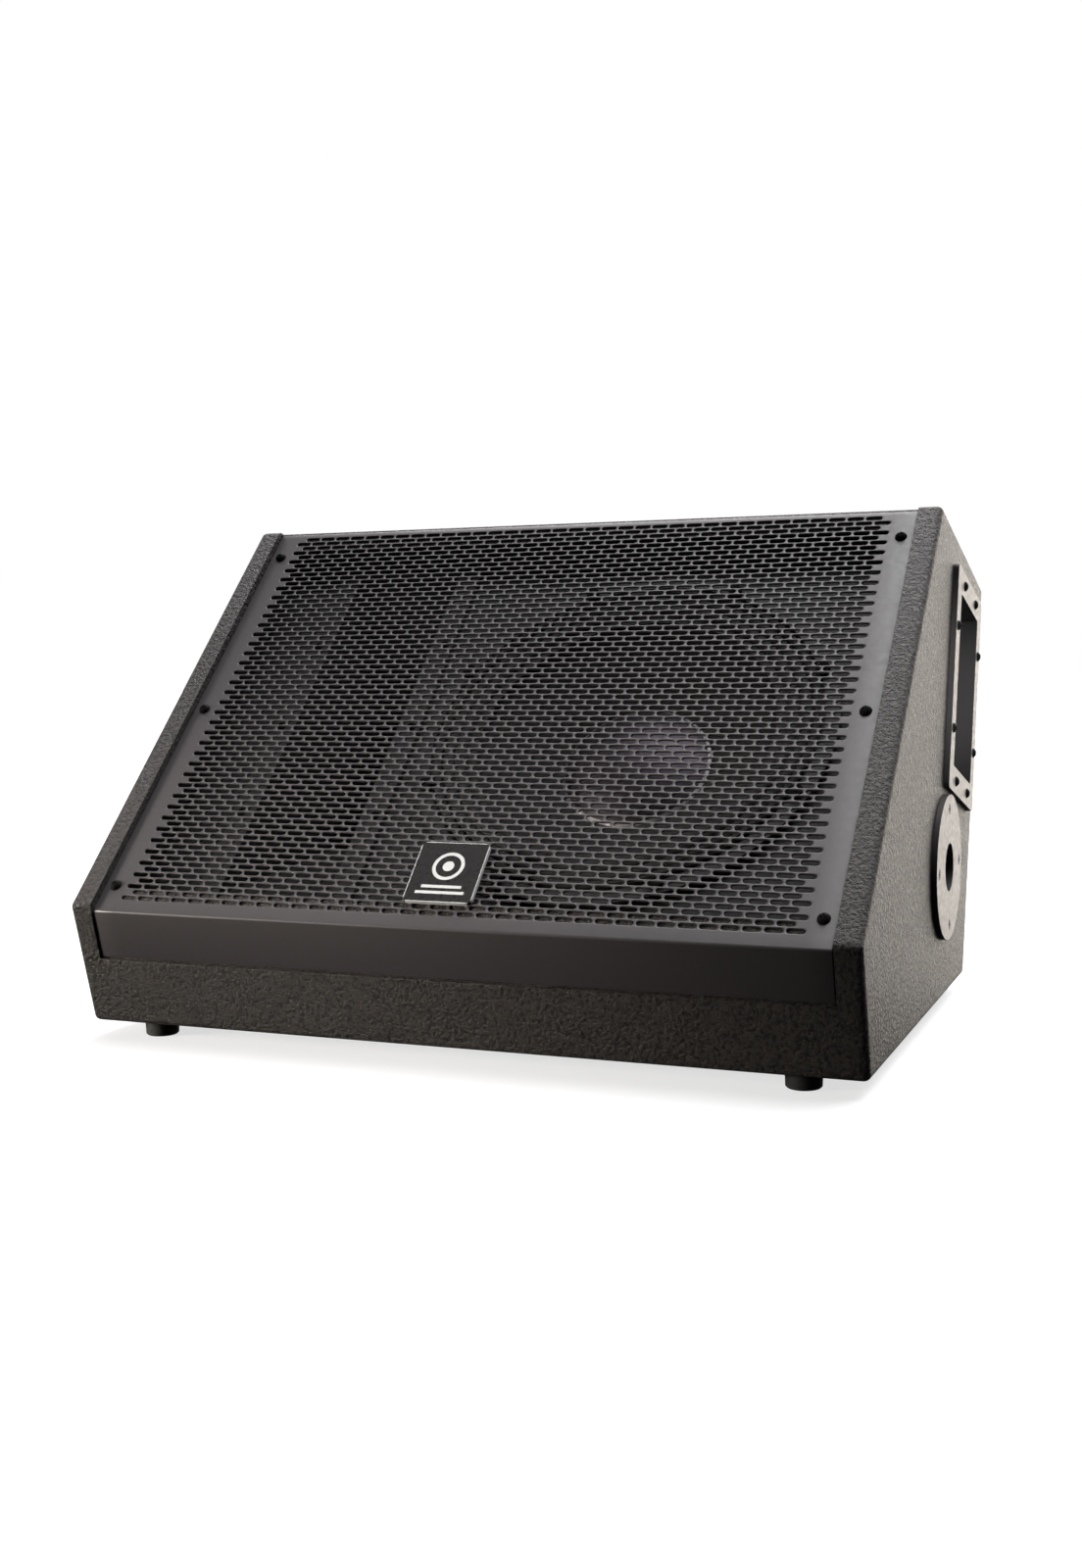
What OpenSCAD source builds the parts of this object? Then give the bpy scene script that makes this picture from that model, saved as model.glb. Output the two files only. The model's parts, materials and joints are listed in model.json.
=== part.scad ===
// Stage monitor wedge: a two-way floor loudspeaker with a folded slotted grille, in millimetres.
// X runs to the right, Y to the back and Z up. The origin is under the middle of the whole object.
// The outline is worked out in the plane of Y and Z from the lower front edge of the cabinet.

/* [Cabinet] */
// Width over the two side panels
cabinet_w = 580; // [560:1:640]
// Length of the lower front face, from the bottom edge up to the knee
front_len = 93; // [88:1:110]
// Length of the sloping face that holds the drivers
face_len = 400; // [396:1:440]
// Length of the top
top_len = 205; // [195:1:240]
// Forward lean of the lower front face, in degrees
front_lean = 15; // [12:0.5:18]
// Slope of the driver face above the floor, in degrees
face_slope = 44.5; // [43:0.5:46]
// Fall of the top towards the back, in degrees; the back stands square to it
top_fall = 16.5; // [15:0.5:18]
// Thickness of the plywood
ply = 18; // [16:1:20]
// Depth of the driver board's front below the side panels' edges
baffle_set = 30; // [28:1:36]

/* [Grille] */
// Depth of the grille's face below the side panels' edges
grille_set = 4.5; // [1:0.5:6]
// Depth of the lip below the side panels' front edges
lip_set = 1.5; // [1:0.5:3]
// Thickness of the steel sheet
sheet_t = 1.5; // [1:0.25:2]
// Gap between the sheet and each side panel
grille_gap = 1; // [0.5:0.5:3]
// Length of the lip that folds down over the front
lip_len = 40.5; // [35:0.5:50]
// Gap below the lip
lip_gap = 1.5; // [1:0.5:3]
// Distance of the grille screws from the middle of the cabinet
grille_screw_x = 262; // [258:1:264]
// Side of the square badge
badge_w = 51; // [40:1:60]

/* [Woofer] */
// Distance of the woofer's axis right of the middle
woofer_x = 83; // [80:1:90]
// Height of the woofer's axis up the driver face from the knee
woofer_y = 196; // [190:1:200]
// Outer radius of the woofer's frame
frame_r = 157.5; // [155:0.5:160]
// Radius of the dust cap
cap_r = 56.5; // [54:0.5:58]

/* [Horn] */
// Distance of the horn's axis left of the middle
horn_x = 146; // [142:1:150]
// Height of the horn's axis up the driver face from the knee
horn_y = 200; // [196:1:204]
// Width and height of the mouth
horn_mouth = [90, 334];
// Width of the flange around the mouth, at the sides and at the ends
horn_rim = [19, 16];
// Depth of the horn from the driver board to the throat
horn_depth = 130; // [115:1:135]

/* [Handle] */
// Position of the middle of the handle plate: back from the lower front edge, and up
handle_at = [346, 230];
// Width and length of the handle plate
handle_size = [118, 174];
// Width and length of the opening in it
handle_mouth = [84, 135];
// Backward lean of the handle plate, in degrees
handle_lean = 15; // [0:0.5:18]
// Depth of the pocket
pocket_depth = 66; // [56:1:72]
// Thickness of the handle plate and of the pole cup's flange
plate_t = 4; // [3:0.5:5]

/* [Pole cup] */
// Position of the pole cup's axis: back from the lower front edge, and up
cup_at = [270, 100];
// Radius of the flange
cup_flange_r = 55; // [50:1:58]
// Radius of the socket for a 35 mm loudspeaker pole
cup_bore_r = 18.2; // [17.8:0.1:18.6]
// Depth of the socket from the flange's outer face
cup_depth = 90; // [70:1:100]
// Radius of the circle that the screws lie on
cup_screw_r = 44; // [42:1:46]

/* [Feet] */
// Height of the rubber feet
foot_h = 11; // [9:1:16]
// Radius of a foot where it meets the cabinet
foot_r = 12.5; // [11:0.5:16]
// Distance of the feet from the middle of the cabinet
foot_x = 243; // [225:1:255]
// Distance of the feet from the front and back edges of the bottom
foot_y = 20; // [18:1:40]

/* [Input panel] */
// Width and height of the steel input plate on the back
input_size = [160, 110];
// Position of its middle: right of the middle, and down the back from the top edge
input_at = [-120, 190];
// Travel of the mode switch's lever
switch_travel = 4; // [3:0.5:5]

/* [Hidden] */
$fn = 64;

// Corners of the outline as [y, z], clockwise from the lower front edge
toe = [0, 0];
knee = front_len * [-sin(front_lean), cos(front_lean)];
crest = knee + face_len * [cos(face_slope), sin(face_slope)];
tail = crest + top_len * [cos(top_fall), -sin(top_fall)];
heel = [tail[0] - tail[1] * tan(top_fall), 0];
back_len = tail[1] / cos(top_fall);

// Direction of each face's outline; the inside of the cabinet lies to the right of it
front_dir = 90 + front_lean;
face_dir = face_slope;
top_dir = -top_fall;
back_dir = -90 - top_fall;
floor_dir = 180;

screw_head_h = 2.5;
grille_head_h = 3.6;
badge_at = [-2, 45];
badge_t = 3;
inner_w = cabinet_w - 2 * ply;
grille_w = inner_w - 2 * grille_gap;
board_set = lip_set + sheet_t;
cleat_set = grille_set + sheet_t;
reach = 600;
eps = 0.01;

// Height of each pair of grille screws up the driver face
grille_screw_y = [0.057, 0.494, 0.93] * face_len;
cleat_w = 18;

pocket_t = 2;
bar_r = 9;
bar_depth = 24;

input_screw_inset = 8;
socket_x = [-46, -10];
jack_x = [24, 50];
switch_x = 37;
connector_y = -12;
switch_y = 22;

// Whole object to the row's frame
module place() {
    shift_x = -(plate_t + screw_head_h) / 2;
    translate([shift_x, -(knee[0] + tail[0]) / 2, foot_h]) children();
}

// Frame on an outer face: X along the cabinet, Y along the outline and Z straight out
module on_face(start, dir) {
    translate([0, start[0], start[1]]) rotate([dir, 0, 0]) children();
}

// Frame on the right side panel: X to the back, Y up and Z straight out
module on_right(at) {
    translate([cabinet_w / 2, at[0], at[1]]) rotate([90, 0, 90]) children();
}

// Outline in the plane of Y and Z drawn out along X
module run_x(from, len) {
    translate([from, 0, 0]) rotate([90, 0, 90]) linear_extrude(len) children();
}

// Strip of the outline's plane between two depths below a face
module strip(start, dir, near, far) {
    translate(start) rotate(dir) translate([-reach, -far]) square([3 * reach, far - near]);
}

module outline() {
    polygon([toe, knee, crest, tail, heel]);
}

module front_skin(near, far) strip(toe, front_dir, near, far);
module face_skin(near, far) strip(knee, face_dir, near, far);
module top_skin(near, far) strip(crest, top_dir, near, far);
module back_skin(near, far) strip(tail, back_dir, near, far);
module floor_skin(near, far) strip(heel, floor_dir, near, far);

module rounded_rect(size, r) {
    w = size[0];
    h = size[1];
    square([w - 2 * r, h], center = true);
    square([w, h - 2 * r], center = true);
    for (sx = [-1, 1], sy = [-1, 1]) translate([sx * (w / 2 - r), sy * (h / 2 - r)]) circle(r);
}

// Pan-head wood screw standing on z = 0
module pan_screw(head_r, head_h, shank_r, shank_len) {
    dome_r = (head_r * head_r + head_h * head_h) / (2 * head_h);
    difference() {
        intersection() {
            translate([0, 0, head_h - dome_r]) sphere(dome_r);
            cylinder(r = head_r, h = head_h);
        }
        for (a = [0, 90]) rotate(a) translate([0, 0, head_h - 0.4]) {
            cube([head_r, head_r / 4, 1.6], center = true);
        }
    }
    translate([0, 0, -shank_len]) cylinder(r = shank_r, h = shank_len);
}

// ---------- Cabinet ----------

module side_blank(from) {
    run_x(from, ply) outline();
}

module side_panel_left() color("dimgray") {
    side_blank(-cabinet_w / 2);
}

module handle_frame() on_right(handle_at) rotate(-handle_lean) children();

module side_panel_right() color("dimgray") difference() {
    side_blank(cabinet_w / 2 - ply);
    handle_frame() translate([0, 0, -ply - 1]) linear_extrude(ply + 2) {
        rounded_rect([handle_mouth[0] + 2 * pocket_t + 2, handle_mouth[1] + 2 * pocket_t + 2], 5);
    }
    on_right(cup_at) translate([0, 0, -ply - 1]) cylinder(r = cup_bore_r + 4, h = ply + 2);
    handle_frame() handle_screw_places() translate([0, 0, -14]) cylinder(r = 1.8, h = 15);
    on_right(cup_at) cup_screw_places() translate([0, 0, -14]) cylinder(r = 2, h = 15);
}

module top_panel() color("dimgray") run_x(-inner_w / 2, inner_w) difference() {
    intersection() {
        outline();
        top_skin(0, ply);
    }
    face_skin(-eps, cleat_set);
}

module bottom_panel() color("dimgray") difference() {
    run_x(-inner_w / 2, inner_w) intersection() {
        outline();
        floor_skin(0, ply);
    }
    foot_places() translate([0, 0, -1]) cylinder(r = 2, h = 13);
}

module back_panel() color("dimgray") difference() {
    run_x(-inner_w / 2, inner_w) difference() {
        intersection() {
            outline();
            back_skin(0, ply);
        }
        top_skin(-eps, ply);
        floor_skin(-eps, ply);
    }
    input_frame() translate([0, 0, -ply - 1]) linear_extrude(ply + 2) {
        rounded_rect([input_size[0] - 30, input_size[1] - 30], 4);
    }
    input_frame() input_screw_places() translate([0, 0, -13]) cylinder(r = 1.8, h = 14);
}

// Flush with the side panels, with a rebate for the grille's lip
module front_board() color("dimgray") difference() {
    run_x(-inner_w / 2, inner_w) difference() {
        intersection() {
            outline();
            front_skin(0, board_set + ply);
        }
        face_skin(-eps, cleat_set);
        floor_skin(-eps, ply);
        to_lip(lip_len + lip_gap) front_skin(-eps, board_set);
    }
    grille_screw_holes();
}

module baffle_board() color("dimgray") difference() {
    run_x(-inner_w / 2, inner_w) difference() {
        intersection() {
            outline();
            face_skin(baffle_set, baffle_set + ply);
        }
        top_skin(-eps, ply);
        front_skin(-eps, board_set + ply);
        floor_skin(-eps, ply);
    }
    woofer_place() translate([0, 0, -ply - 1]) cylinder(r = 142, h = ply + 2);
    woofer_place() woofer_screw_places() translate([0, 0, -ply - 1]) cylinder(r = 4, h = ply + 2);
    horn_place() translate([0, 0, -ply - 1]) linear_extrude(ply + 2) {
        rounded_rect(horn_mouth + [14, 14], 6);
    }
    horn_place() horn_screw_places() translate([0, 0, -14]) cylinder(r = 1.8, h = 15);
}

module grille_cleats() color("dimgray") difference() {
    for (x = [-inner_w / 2, inner_w / 2 - cleat_w]) run_x(x, cleat_w) difference() {
        face_skin_inside(cleat_set, baffle_set);
        top_skin(-eps, ply);
        front_skin(-eps, board_set + ply);
    }
    grille_screw_holes();
}

module face_skin_inside(near, far) intersection() {
    outline();
    face_skin(near, far);
}

// ---------- Grille and badge ----------

module grille_screw_places() on_face(knee, face_dir) {
    for (x = [-1, 1] * grille_screw_x, y = grille_screw_y) translate([x, y, 0]) children();
}

// Everything deeper than a given distance below the sheet's outer face
module behind_fold(depth) intersection() {
    face_skin(grille_set + depth, reach);
    front_skin(lip_set + depth, reach);
}

module grille_screw_holes() grille_screw_places() translate([0, 0, -23]) cylinder(r = 1.8, h = 21);

// What lies above a point this far down the front from the knee
module to_lip(len) intersection() {
    translate(knee) rotate(front_dir) translate([-len, -reach]) square([reach, 2 * reach]);
    children();
}

// The folded sheet; its slots are too many to cut here
module grille() color([0.16, 0.15, 0.16]) difference() {
    run_x(-grille_w / 2, grille_w) to_lip(lip_len) intersection() {
        difference() {
            behind_fold(0);
            behind_fold(sheet_t);
        }
        outline();
    }
    grille_screw_places() translate([0, 0, -cleat_set - 1]) cylinder(r = 2.4, h = cleat_set + 2);
}

module grille_screws() color([0.05, 0.05, 0.05]) {
    grille_screw_places() translate([0, 0, -grille_set]) pan_screw(4.5, grille_head_h, 1.8, 18);
}

module badge() color([0.1, 0.1, 0.11]) on_face(knee, face_dir) {
    translate([badge_at[0], badge_at[1], -grille_set]) linear_extrude(badge_t) {
        rounded_rect([badge_w, badge_w], 4);
    }
}

// ---------- Handle ----------

module handle_screw_places() {
    side_x = (handle_size[0] + handle_mouth[0]) / 4;
    end_y = (handle_size[1] + handle_mouth[1]) / 4;
    for (s = [-1, 1], t = [-1, 1]) {
        translate([s * side_x, t * 40, 0]) children();
        translate([s * 27, t * end_y, 0]) children();
    }
}

module handle_dish() color([0.2, 0.2, 0.2]) handle_frame() difference() {
    union() {
        linear_extrude(plate_t) rounded_rect(handle_size, 4);
        translate([0, 0, -pocket_depth - pocket_t]) linear_extrude(pocket_depth + pocket_t + eps) {
            rounded_rect(handle_mouth + [2 * pocket_t, 2 * pocket_t], 5);
        }
    }
    translate([0, 0, -pocket_depth]) linear_extrude(pocket_depth + plate_t + 1) {
        rounded_rect(handle_mouth, 3);
    }
    handle_screw_places() translate([0, 0, -1]) cylinder(r = 2.2, h = plate_t + 2);
}

module handle_bar() color([0.3, 0.3, 0.3]) handle_frame() {
    translate([0, handle_mouth[1] / 2, -bar_depth]) rotate([90, 0, 0]) {
        cylinder(r = bar_r, h = handle_mouth[1]);
    }
}

module handle_grip() color([0.07, 0.07, 0.07]) handle_frame() {
    grip_len = 96;
    translate([0, grip_len / 2, -bar_depth]) rotate([90, 0, 0]) difference() {
        union() {
            cylinder(r = bar_r + 2.5, h = grip_len);
            for (i = [0:11]) translate([0, 0, 4 + 8 * i]) {
                translate([0, 0, -1.5]) cylinder(r = bar_r + 3.2, h = 3);
            }
        }
        translate([0, 0, -1]) cylinder(r = bar_r, h = grip_len + 2);
    }
}

module handle_screws() color([0.05, 0.05, 0.05]) handle_frame() handle_screw_places() {
    translate([0, 0, plate_t]) pan_screw(4, screw_head_h, 1.8, 15);
}

// ---------- Pole cup ----------

module cup_screw_places() {
    for (a = [0:90:270]) rotate(a) translate([cup_screw_r, 0, 0]) children();
}

module pole_cup() color([0.22, 0.22, 0.22]) on_right(cup_at) difference() {
    union() {
        cylinder(r = cup_flange_r, h = plate_t);
        translate([0, 0, plate_t - cup_depth - 2]) cylinder(r = cup_bore_r + 2.5, h = cup_depth);
    }
    translate([0, 0, plate_t - cup_depth]) cylinder(r = cup_bore_r, h = cup_depth + 1);
    cup_screw_places() {
        translate([0, 0, -1]) cylinder(r = 2.3, h = plate_t + 2);
        translate([0, 0, plate_t - 2.4]) cylinder(r1 = 2, r2 = 4.4, h = 2.4 + eps);
    }
}

module pole_cup_screws() color([0.05, 0.05, 0.05]) on_right(cup_at) cup_screw_places() {
    translate([0, 0, plate_t - 2.3]) difference() {
        cylinder(r1 = 2, r2 = 4.2, h = 2.2);
        for (a = [0, 90]) rotate(a) translate([0, 0, 2.2]) cube([4.4, 1, 2], center = true);
    }
    translate([0, 0, -12]) cylinder(r = 2, h = 12 + plate_t - 2.2);
}

// ---------- Feet ----------

module foot_places() {
    for (x = [-1, 1] * foot_x, y = [foot_y, heel[0] - foot_y]) translate([x, y, 0]) children();
}

module feet() color([0.05, 0.05, 0.05]) foot_places() translate([0, 0, -foot_h]) {
    rotate_extrude() polygon([
        [foot_r - 1.5, 0], [foot_r - 0.5, 1], [foot_r, foot_h], [2.2, foot_h],
        [2.2, 5], [5, 5], [5, 0]
    ]);
}

module foot_screws() color("silver") foot_places() translate([0, 0, -foot_h + 5]) {
    rotate([180, 0, 0]) pan_screw(4.2, 2.4, 2, foot_h + 5);
}

// ---------- Woofer ----------

// Frame on the driver board: Z = 0 on its front face
module woofer_place() {
    on_face(knee, face_dir) translate([woofer_x, woofer_y, -baffle_set]) children();
}

module woofer_screw_places() {
    for (i = [0:7]) rotate(22.5 + 45 * i) translate([149.5, 0, 0]) children();
}

top_plate_z = -82;
gap_h = 8;
magnet_h = 20;
magnet_r = 78;
back_plate_h = 8;
pole_r = 50;
former_r = 50.6;
neck_z = -38;

module woofer_frame() color([0.12, 0.12, 0.12]) woofer_place() difference() {
    rotate_extrude($fn = 96) polygon([
        [frame_r, 0], [frame_r, 7], [147, 7], [147, 3], [136, 3], [133, -4],
        [96, -56], [85, -56], [80, -76], [57, -76], [57, top_plate_z], [84, top_plate_z],
        [91, -64], [101, -60], [138.5, -4], [141, 0]
    ]);
    for (i = [0:5]) rotate(60 * i) translate([120, 0, -31]) {
        cube([64, 62, 42], center = true);
    }
    woofer_screw_places() translate([0, 0, -1]) cylinder(r = 2.8, h = 9);
}

module woofer_gasket() color([0.1, 0.1, 0.1]) woofer_place() translate([0, 0, 4.2]) {
    rotate_extrude($fn = 96) polygon([
        [138.5, 0], [144, 0], [144, 3.4], [142.5, 4.8], [140, 4.8], [138.5, 3.4]
    ]);
}

module woofer_screws() color([0.08, 0.08, 0.08]) woofer_place() woofer_screw_places() {
    translate([0, 0, 7]) difference() {
        union() {
            cylinder(r = 5, h = 4.5);
            translate([0, 0, -31]) cylinder(r = 2.5, h = 31);
        }
        translate([0, 0, 2]) cylinder(r = 2.3, h = 4, $fn = 6);
    }
}

module woofer_tee_nuts() color("silver") woofer_place() woofer_screw_places() {
    translate([0, 0, -ply - 1.5]) difference() {
        union() {
            cylinder(r = 7.4, h = 1.5);
            cylinder(r = 3.9, h = 11);
        }
        translate([0, 0, -1]) cylinder(r = 2.5, h = 13);
    }
}

module woofer_top_plate() color("gray") woofer_place() translate([0, 0, top_plate_z - gap_h]) {
    difference() {
        cylinder(r = 74, h = gap_h);
        translate([0, 0, -1]) cylinder(r = 53, h = gap_h + 2);
    }
}

module woofer_magnet() color([0.15, 0.15, 0.16]) woofer_place() {
    translate([0, 0, top_plate_z - gap_h - magnet_h]) difference() {
        cylinder(r = magnet_r, h = magnet_h);
        translate([0, 0, -1]) cylinder(r = 58, h = magnet_h + 2);
    }
}

module woofer_pole_piece() color("gray") woofer_place() {
    base_z = top_plate_z - gap_h - magnet_h - back_plate_h;
    translate([0, 0, base_z]) difference() {
        union() {
            cylinder(r1 = 70, r2 = 74, h = back_plate_h);
            cylinder(r = pole_r, h = top_plate_z - base_z);
        }
        translate([0, 0, -1]) cylinder(r = 14, h = top_plate_z - base_z + 2);
    }
}

// Half of a ring-shaped roll of the surround, open downwards
module half_roll(r, roll_r) translate([r, 3]) difference() {
    circle(roll_r + 0.5);
    circle(roll_r - 0.5);
    translate([-20, -40]) square([40, 40]);
}

module woofer_surround() color([0.08, 0.08, 0.08]) woofer_place() rotate_extrude($fn = 96) {
    roll_r = 4.6;
    half_roll(133, roll_r);
    half_roll(133 - 2 * roll_r, roll_r);
    translate([133 + roll_r - 0.5, 3]) square([9, 1]);
    translate([112, 3]) square([133 - 3 * roll_r - 112 + 0.5, 1]);
}

// Depth of the cone's paper at a given radius
cone_r = 118;
function cone_z(r) = 2.8 + (neck_z - 2.8) * pow(max(0, cone_r - r) / (cone_r - former_r), 0.85);
cone_steps = 8;

module woofer_cone() color([0.1, 0.1, 0.1]) woofer_place() rotate_extrude($fn = 96) {
    r_at = [for (i = [0:cone_steps]) former_r + 0.6 + (cone_r - former_r - 0.6) * i / cone_steps];
    front = [for (r = r_at) [r, cone_z(r)]];
    rear = [for (i = [cone_steps:-1:0]) [r_at[i], cone_z(r_at[i]) - 1.2]];
    polygon(concat(front, rear));
}

module woofer_dust_cap() color("silver") woofer_place() {
    cap_h = 17;
    ball_r = (cap_r * cap_r + cap_h * cap_h) / (2 * cap_h);
    cap_z = cone_z(cap_r) + 0.1;
    difference() {
        translate([0, 0, cap_z + cap_h - ball_r]) difference() {
            sphere(ball_r, $fn = 96);
            sphere(ball_r - 0.8, $fn = 96);
        }
        translate([0, 0, cap_z - 2 * ball_r]) cylinder(r = 2 * ball_r, h = 2 * ball_r);
    }
}

// Height of the spider's cloth at a given radius: four ripples, then a flat rim on the frame
spider_in = former_r + 0.6;
spider_flat = 84;
spider_out = 94;
spider_base = -55.5;
ripple = 1.2;
function spider_z(r) = r > spider_flat ? spider_base
    : spider_base + ripple * (1 - cos(360 * 4 * (r - spider_in) / (spider_flat - spider_in)));

module woofer_spider() color([0.75, 0.6, 0.35]) woofer_place() rotate_extrude($fn = 96) {
    steps = 40;
    rippled = [for (i = [0:steps]) spider_in + (spider_flat - spider_in) * i / steps];
    r_at = concat(rippled, [spider_out]);
    front = [for (r = r_at) [r, spider_z(r)]];
    rear = [for (i = [steps + 1:-1:0]) [r_at[i], spider_z(r_at[i]) - 0.5]];
    polygon(concat(front, rear));
}

module woofer_voice_coil() color([0.7, 0.4, 0.2]) woofer_place() {
    winding_h = 14;
    winding_z = top_plate_z - gap_h / 2 - winding_h / 2;
    difference() {
        union() {
            translate([0, 0, winding_z]) cylinder(r = former_r + 0.6, h = neck_z + 1 - winding_z);
            translate([0, 0, winding_z]) cylinder(r = former_r + 1.7, h = winding_h);
        }
        translate([0, 0, winding_z - 1]) cylinder(r = former_r, h = 80);
    }
}

// ---------- Horn and compression driver ----------

module horn_place() {
    on_face(knee, face_dir) translate([-horn_x, horn_y, -baffle_set]) children();
}

horn_flange = horn_mouth + 2 * horn_rim;
horn_t = 3;
throat_r = 12.7;
horn_mid = [0.46 * horn_mouth[0], 0.42 * horn_mouth[1]];
horn_mid_z = -0.5 * horn_depth;
pad_h = 8;
driver_r = 52;
driver_z = -horn_depth - pad_h;
front_plate_h = 14;
driver_magnet_h = 24;

module horn_screw_places() {
    x = horn_flange[0] / 2 - horn_rim[0] / 2 + 2;
    y = horn_flange[1] / 2 - horn_rim[1] / 2;
    for (s = [-1, 1], t = [-1, -0.5, 0, 0.5, 1]) translate([s * x, t * y, 0]) children();
}

// Two-stage flare from the mouth to the round throat, grown by a wall
module flare(wall, mouth_z, throat_z) {
    module slab(size, z) translate([0, 0, z]) cube([size[0], size[1], eps], center = true);
    grow = [2 * wall, 2 * wall];
    hull() {
        slab(horn_mouth + grow, mouth_z);
        slab(horn_mid + grow, horn_mid_z);
    }
    hull() {
        slab(horn_mid + grow, horn_mid_z);
        translate([0, 0, throat_z]) cylinder(r = throat_r + wall, h = eps, $fn = 32);
    }
}

module horn() color([0.1, 0.1, 0.1]) horn_place() difference() {
    union() {
        linear_extrude(4) rounded_rect(horn_flange, 8);
        flare(horn_t, 0, -horn_depth);
        translate([0, 0, driver_z]) cylinder(r = driver_r - 4, h = pad_h);
    }
    flare(0, 4 + 2 * eps, driver_z - eps);
    horn_screw_places() translate([0, 0, -1]) cylinder(r = 2.2, h = 6);
    driver_bolt_places() translate([0, 0, driver_z - 1]) cylinder(r = 3.2, h = pad_h + 2);
}

module horn_screws() color([0.06, 0.06, 0.06]) horn_place() horn_screw_places() {
    translate([0, 0, 4]) pan_screw(4, screw_head_h, 1.8, 17);
}

module driver_bolt_places() {
    for (a = [45:90:315]) rotate(a) translate([38, 0, 0]) children();
}

module driver_front_plate() color("gray") horn_place() {
    translate([0, 0, driver_z - front_plate_h]) difference() {
        cylinder(r = driver_r, h = front_plate_h);
        translate([0, 0, -1]) cylinder(r = throat_r, h = front_plate_h + 2);
        translate([0, 0, -1]) cylinder(r = 28, h = 7);
        driver_bolt_places() translate([0, 0, 6]) cylinder(r = 3, h = front_plate_h);
    }
}

// Thin dome with its short former, free in the driver's chamber
module driver_diaphragm() color([0.75, 0.75, 0.78]) horn_place() {
    dome_r = 22;
    dome_h = 5;
    ball_r = (dome_r * dome_r + dome_h * dome_h) / (2 * dome_h);
    rim_z = driver_z - front_plate_h - 4;
    difference() {
        translate([0, 0, rim_z + dome_h - ball_r]) difference() {
            sphere(ball_r);
            sphere(ball_r - 0.5);
        }
        translate([0, 0, rim_z - 4 * ball_r]) cylinder(r = 4 * ball_r, h = 4 * ball_r);
    }
    translate([0, 0, rim_z - 5]) difference() {
        cylinder(r = dome_r + 0.6, h = 5.4);
        translate([0, 0, -1]) cylinder(r = dome_r - 0.4, h = 8);
    }
}

module driver_magnet() color([0.15, 0.15, 0.16]) horn_place() {
    translate([0, 0, driver_z - front_plate_h - driver_magnet_h]) difference() {
        cylinder(r = driver_r, h = driver_magnet_h);
        translate([0, 0, -1]) cylinder(r = 28, h = driver_magnet_h + 2);
    }
}

module driver_rear_cover() color([0.15, 0.15, 0.15]) horn_place() {
    z = driver_z - front_plate_h - driver_magnet_h;
    translate([0, 0, z - 16]) {
        difference() {
            cylinder(r1 = driver_r - 6, r2 = driver_r, h = 16);
            translate([0, 0, 3]) cylinder(r = driver_r - 9, h = 14);
        }
        cylinder(r = 21, h = 22);
    }
}

module driver_bolts() color("silver") horn_place() driver_bolt_places() {
    translate([0, 0, -horn_depth]) {
        cylinder(r = 5.5, h = 4, $fn = 6);
        translate([0, 0, -pad_h - 7.5]) cylinder(r = 2.9, h = pad_h + 7.5);
    }
}

// ---------- Input panel ----------

// Frame on the back: X to the left as seen from behind, Y down the back and Z straight out
module input_frame() {
    on_face(tail, back_dir) translate([input_at[0], input_at[1], 0]) children();
}

input_t = 2;

module input_screw_places() {
    x = input_size[0] / 2 - input_screw_inset;
    y = input_size[1] / 2 - input_screw_inset;
    for (sx = [-1, 0, 1], sy = [-1, 1]) translate([sx * x, sy * y, 0]) children();
}

module at_sockets() for (x = socket_x) translate([x, connector_y, 0]) children();
module at_jacks() for (x = jack_x) translate([x, connector_y, 0]) children();
module at_switch() translate([switch_x, switch_y, 0]) children();

module input_plate() color([0.08, 0.08, 0.08]) input_frame() difference() {
    linear_extrude(input_t) rounded_rect(input_size, 5);
    at_sockets() translate([0, 0, -1]) cylinder(r = 12.2, h = input_t + 2);
    at_jacks() translate([0, 0, -1]) cylinder(r = 4.8, h = input_t + 2);
    at_switch() cube([14, 7, 3 * input_t], center = true);
    input_screw_places() translate([0, 0, -1]) cylinder(r = 2.2, h = input_t + 2);
}

module input_screws() color([0.05, 0.05, 0.05]) input_frame() input_screw_places() {
    translate([0, 0, input_t]) pan_screw(4, screw_head_h, 1.8, 14);
}

module twist_lock_sockets() color([0.1, 0.1, 0.12]) input_frame() at_sockets() difference() {
    union() {
        translate([0, 0, input_t]) linear_extrude(2) rounded_rect([26, 31], 3);
        translate([0, 0, -22]) cylinder(r = 12, h = 22 + input_t + eps);
    }
    translate([0, 0, -18]) difference() {
        cylinder(r = 10.2, h = 30);
        translate([0, 0, -1]) cylinder(r = 6.5, h = 15);
    }
    for (a = [30, 150, 270]) rotate(a) translate([9.8, 0, 0]) cube([3.4, 4, 16], center = true);
}

module jack_sockets() color([0.12, 0.12, 0.12]) input_frame() at_jacks() difference() {
    union() {
        translate([0, 0, -26]) cylinder(r = 4.6, h = 26 + input_t + 3.5);
        translate([0, 0, -26]) linear_extrude(25.9) square([16, 20], center = true);
    }
    translate([0, 0, -25]) cylinder(r = 3.2, h = 40);
}

module jack_nuts() color("silver") input_frame() at_jacks() translate([0, 0, input_t]) {
    difference() {
        cylinder(r = 7.2, h = 2.6, $fn = 6);
        translate([0, 0, -1]) cylinder(r = 4.6, h = 5);
    }
}

module switch_body() color([0.3, 0.3, 0.3]) input_frame() at_switch() difference() {
    translate([0, 0, -8]) linear_extrude(7.9) square([22, 12], center = true);
    translate([0, 0, -3]) cube([switch_travel + 6, 4.6, 8], center = true);
}

// The lever rests at the full-range end and slides towards the screwed edge
module switch_lever() color([0.85, 0.85, 0.85]) input_frame() at_switch() {
    translate([-switch_travel / 2, 0, -6.6]) {
        linear_extrude(6.6 + input_t + 1.6) square([4, 3.8], center = true);
        linear_extrude(4) square([5, 4.2], center = true);
    }
}

// ---------- Crossover ----------

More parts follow.
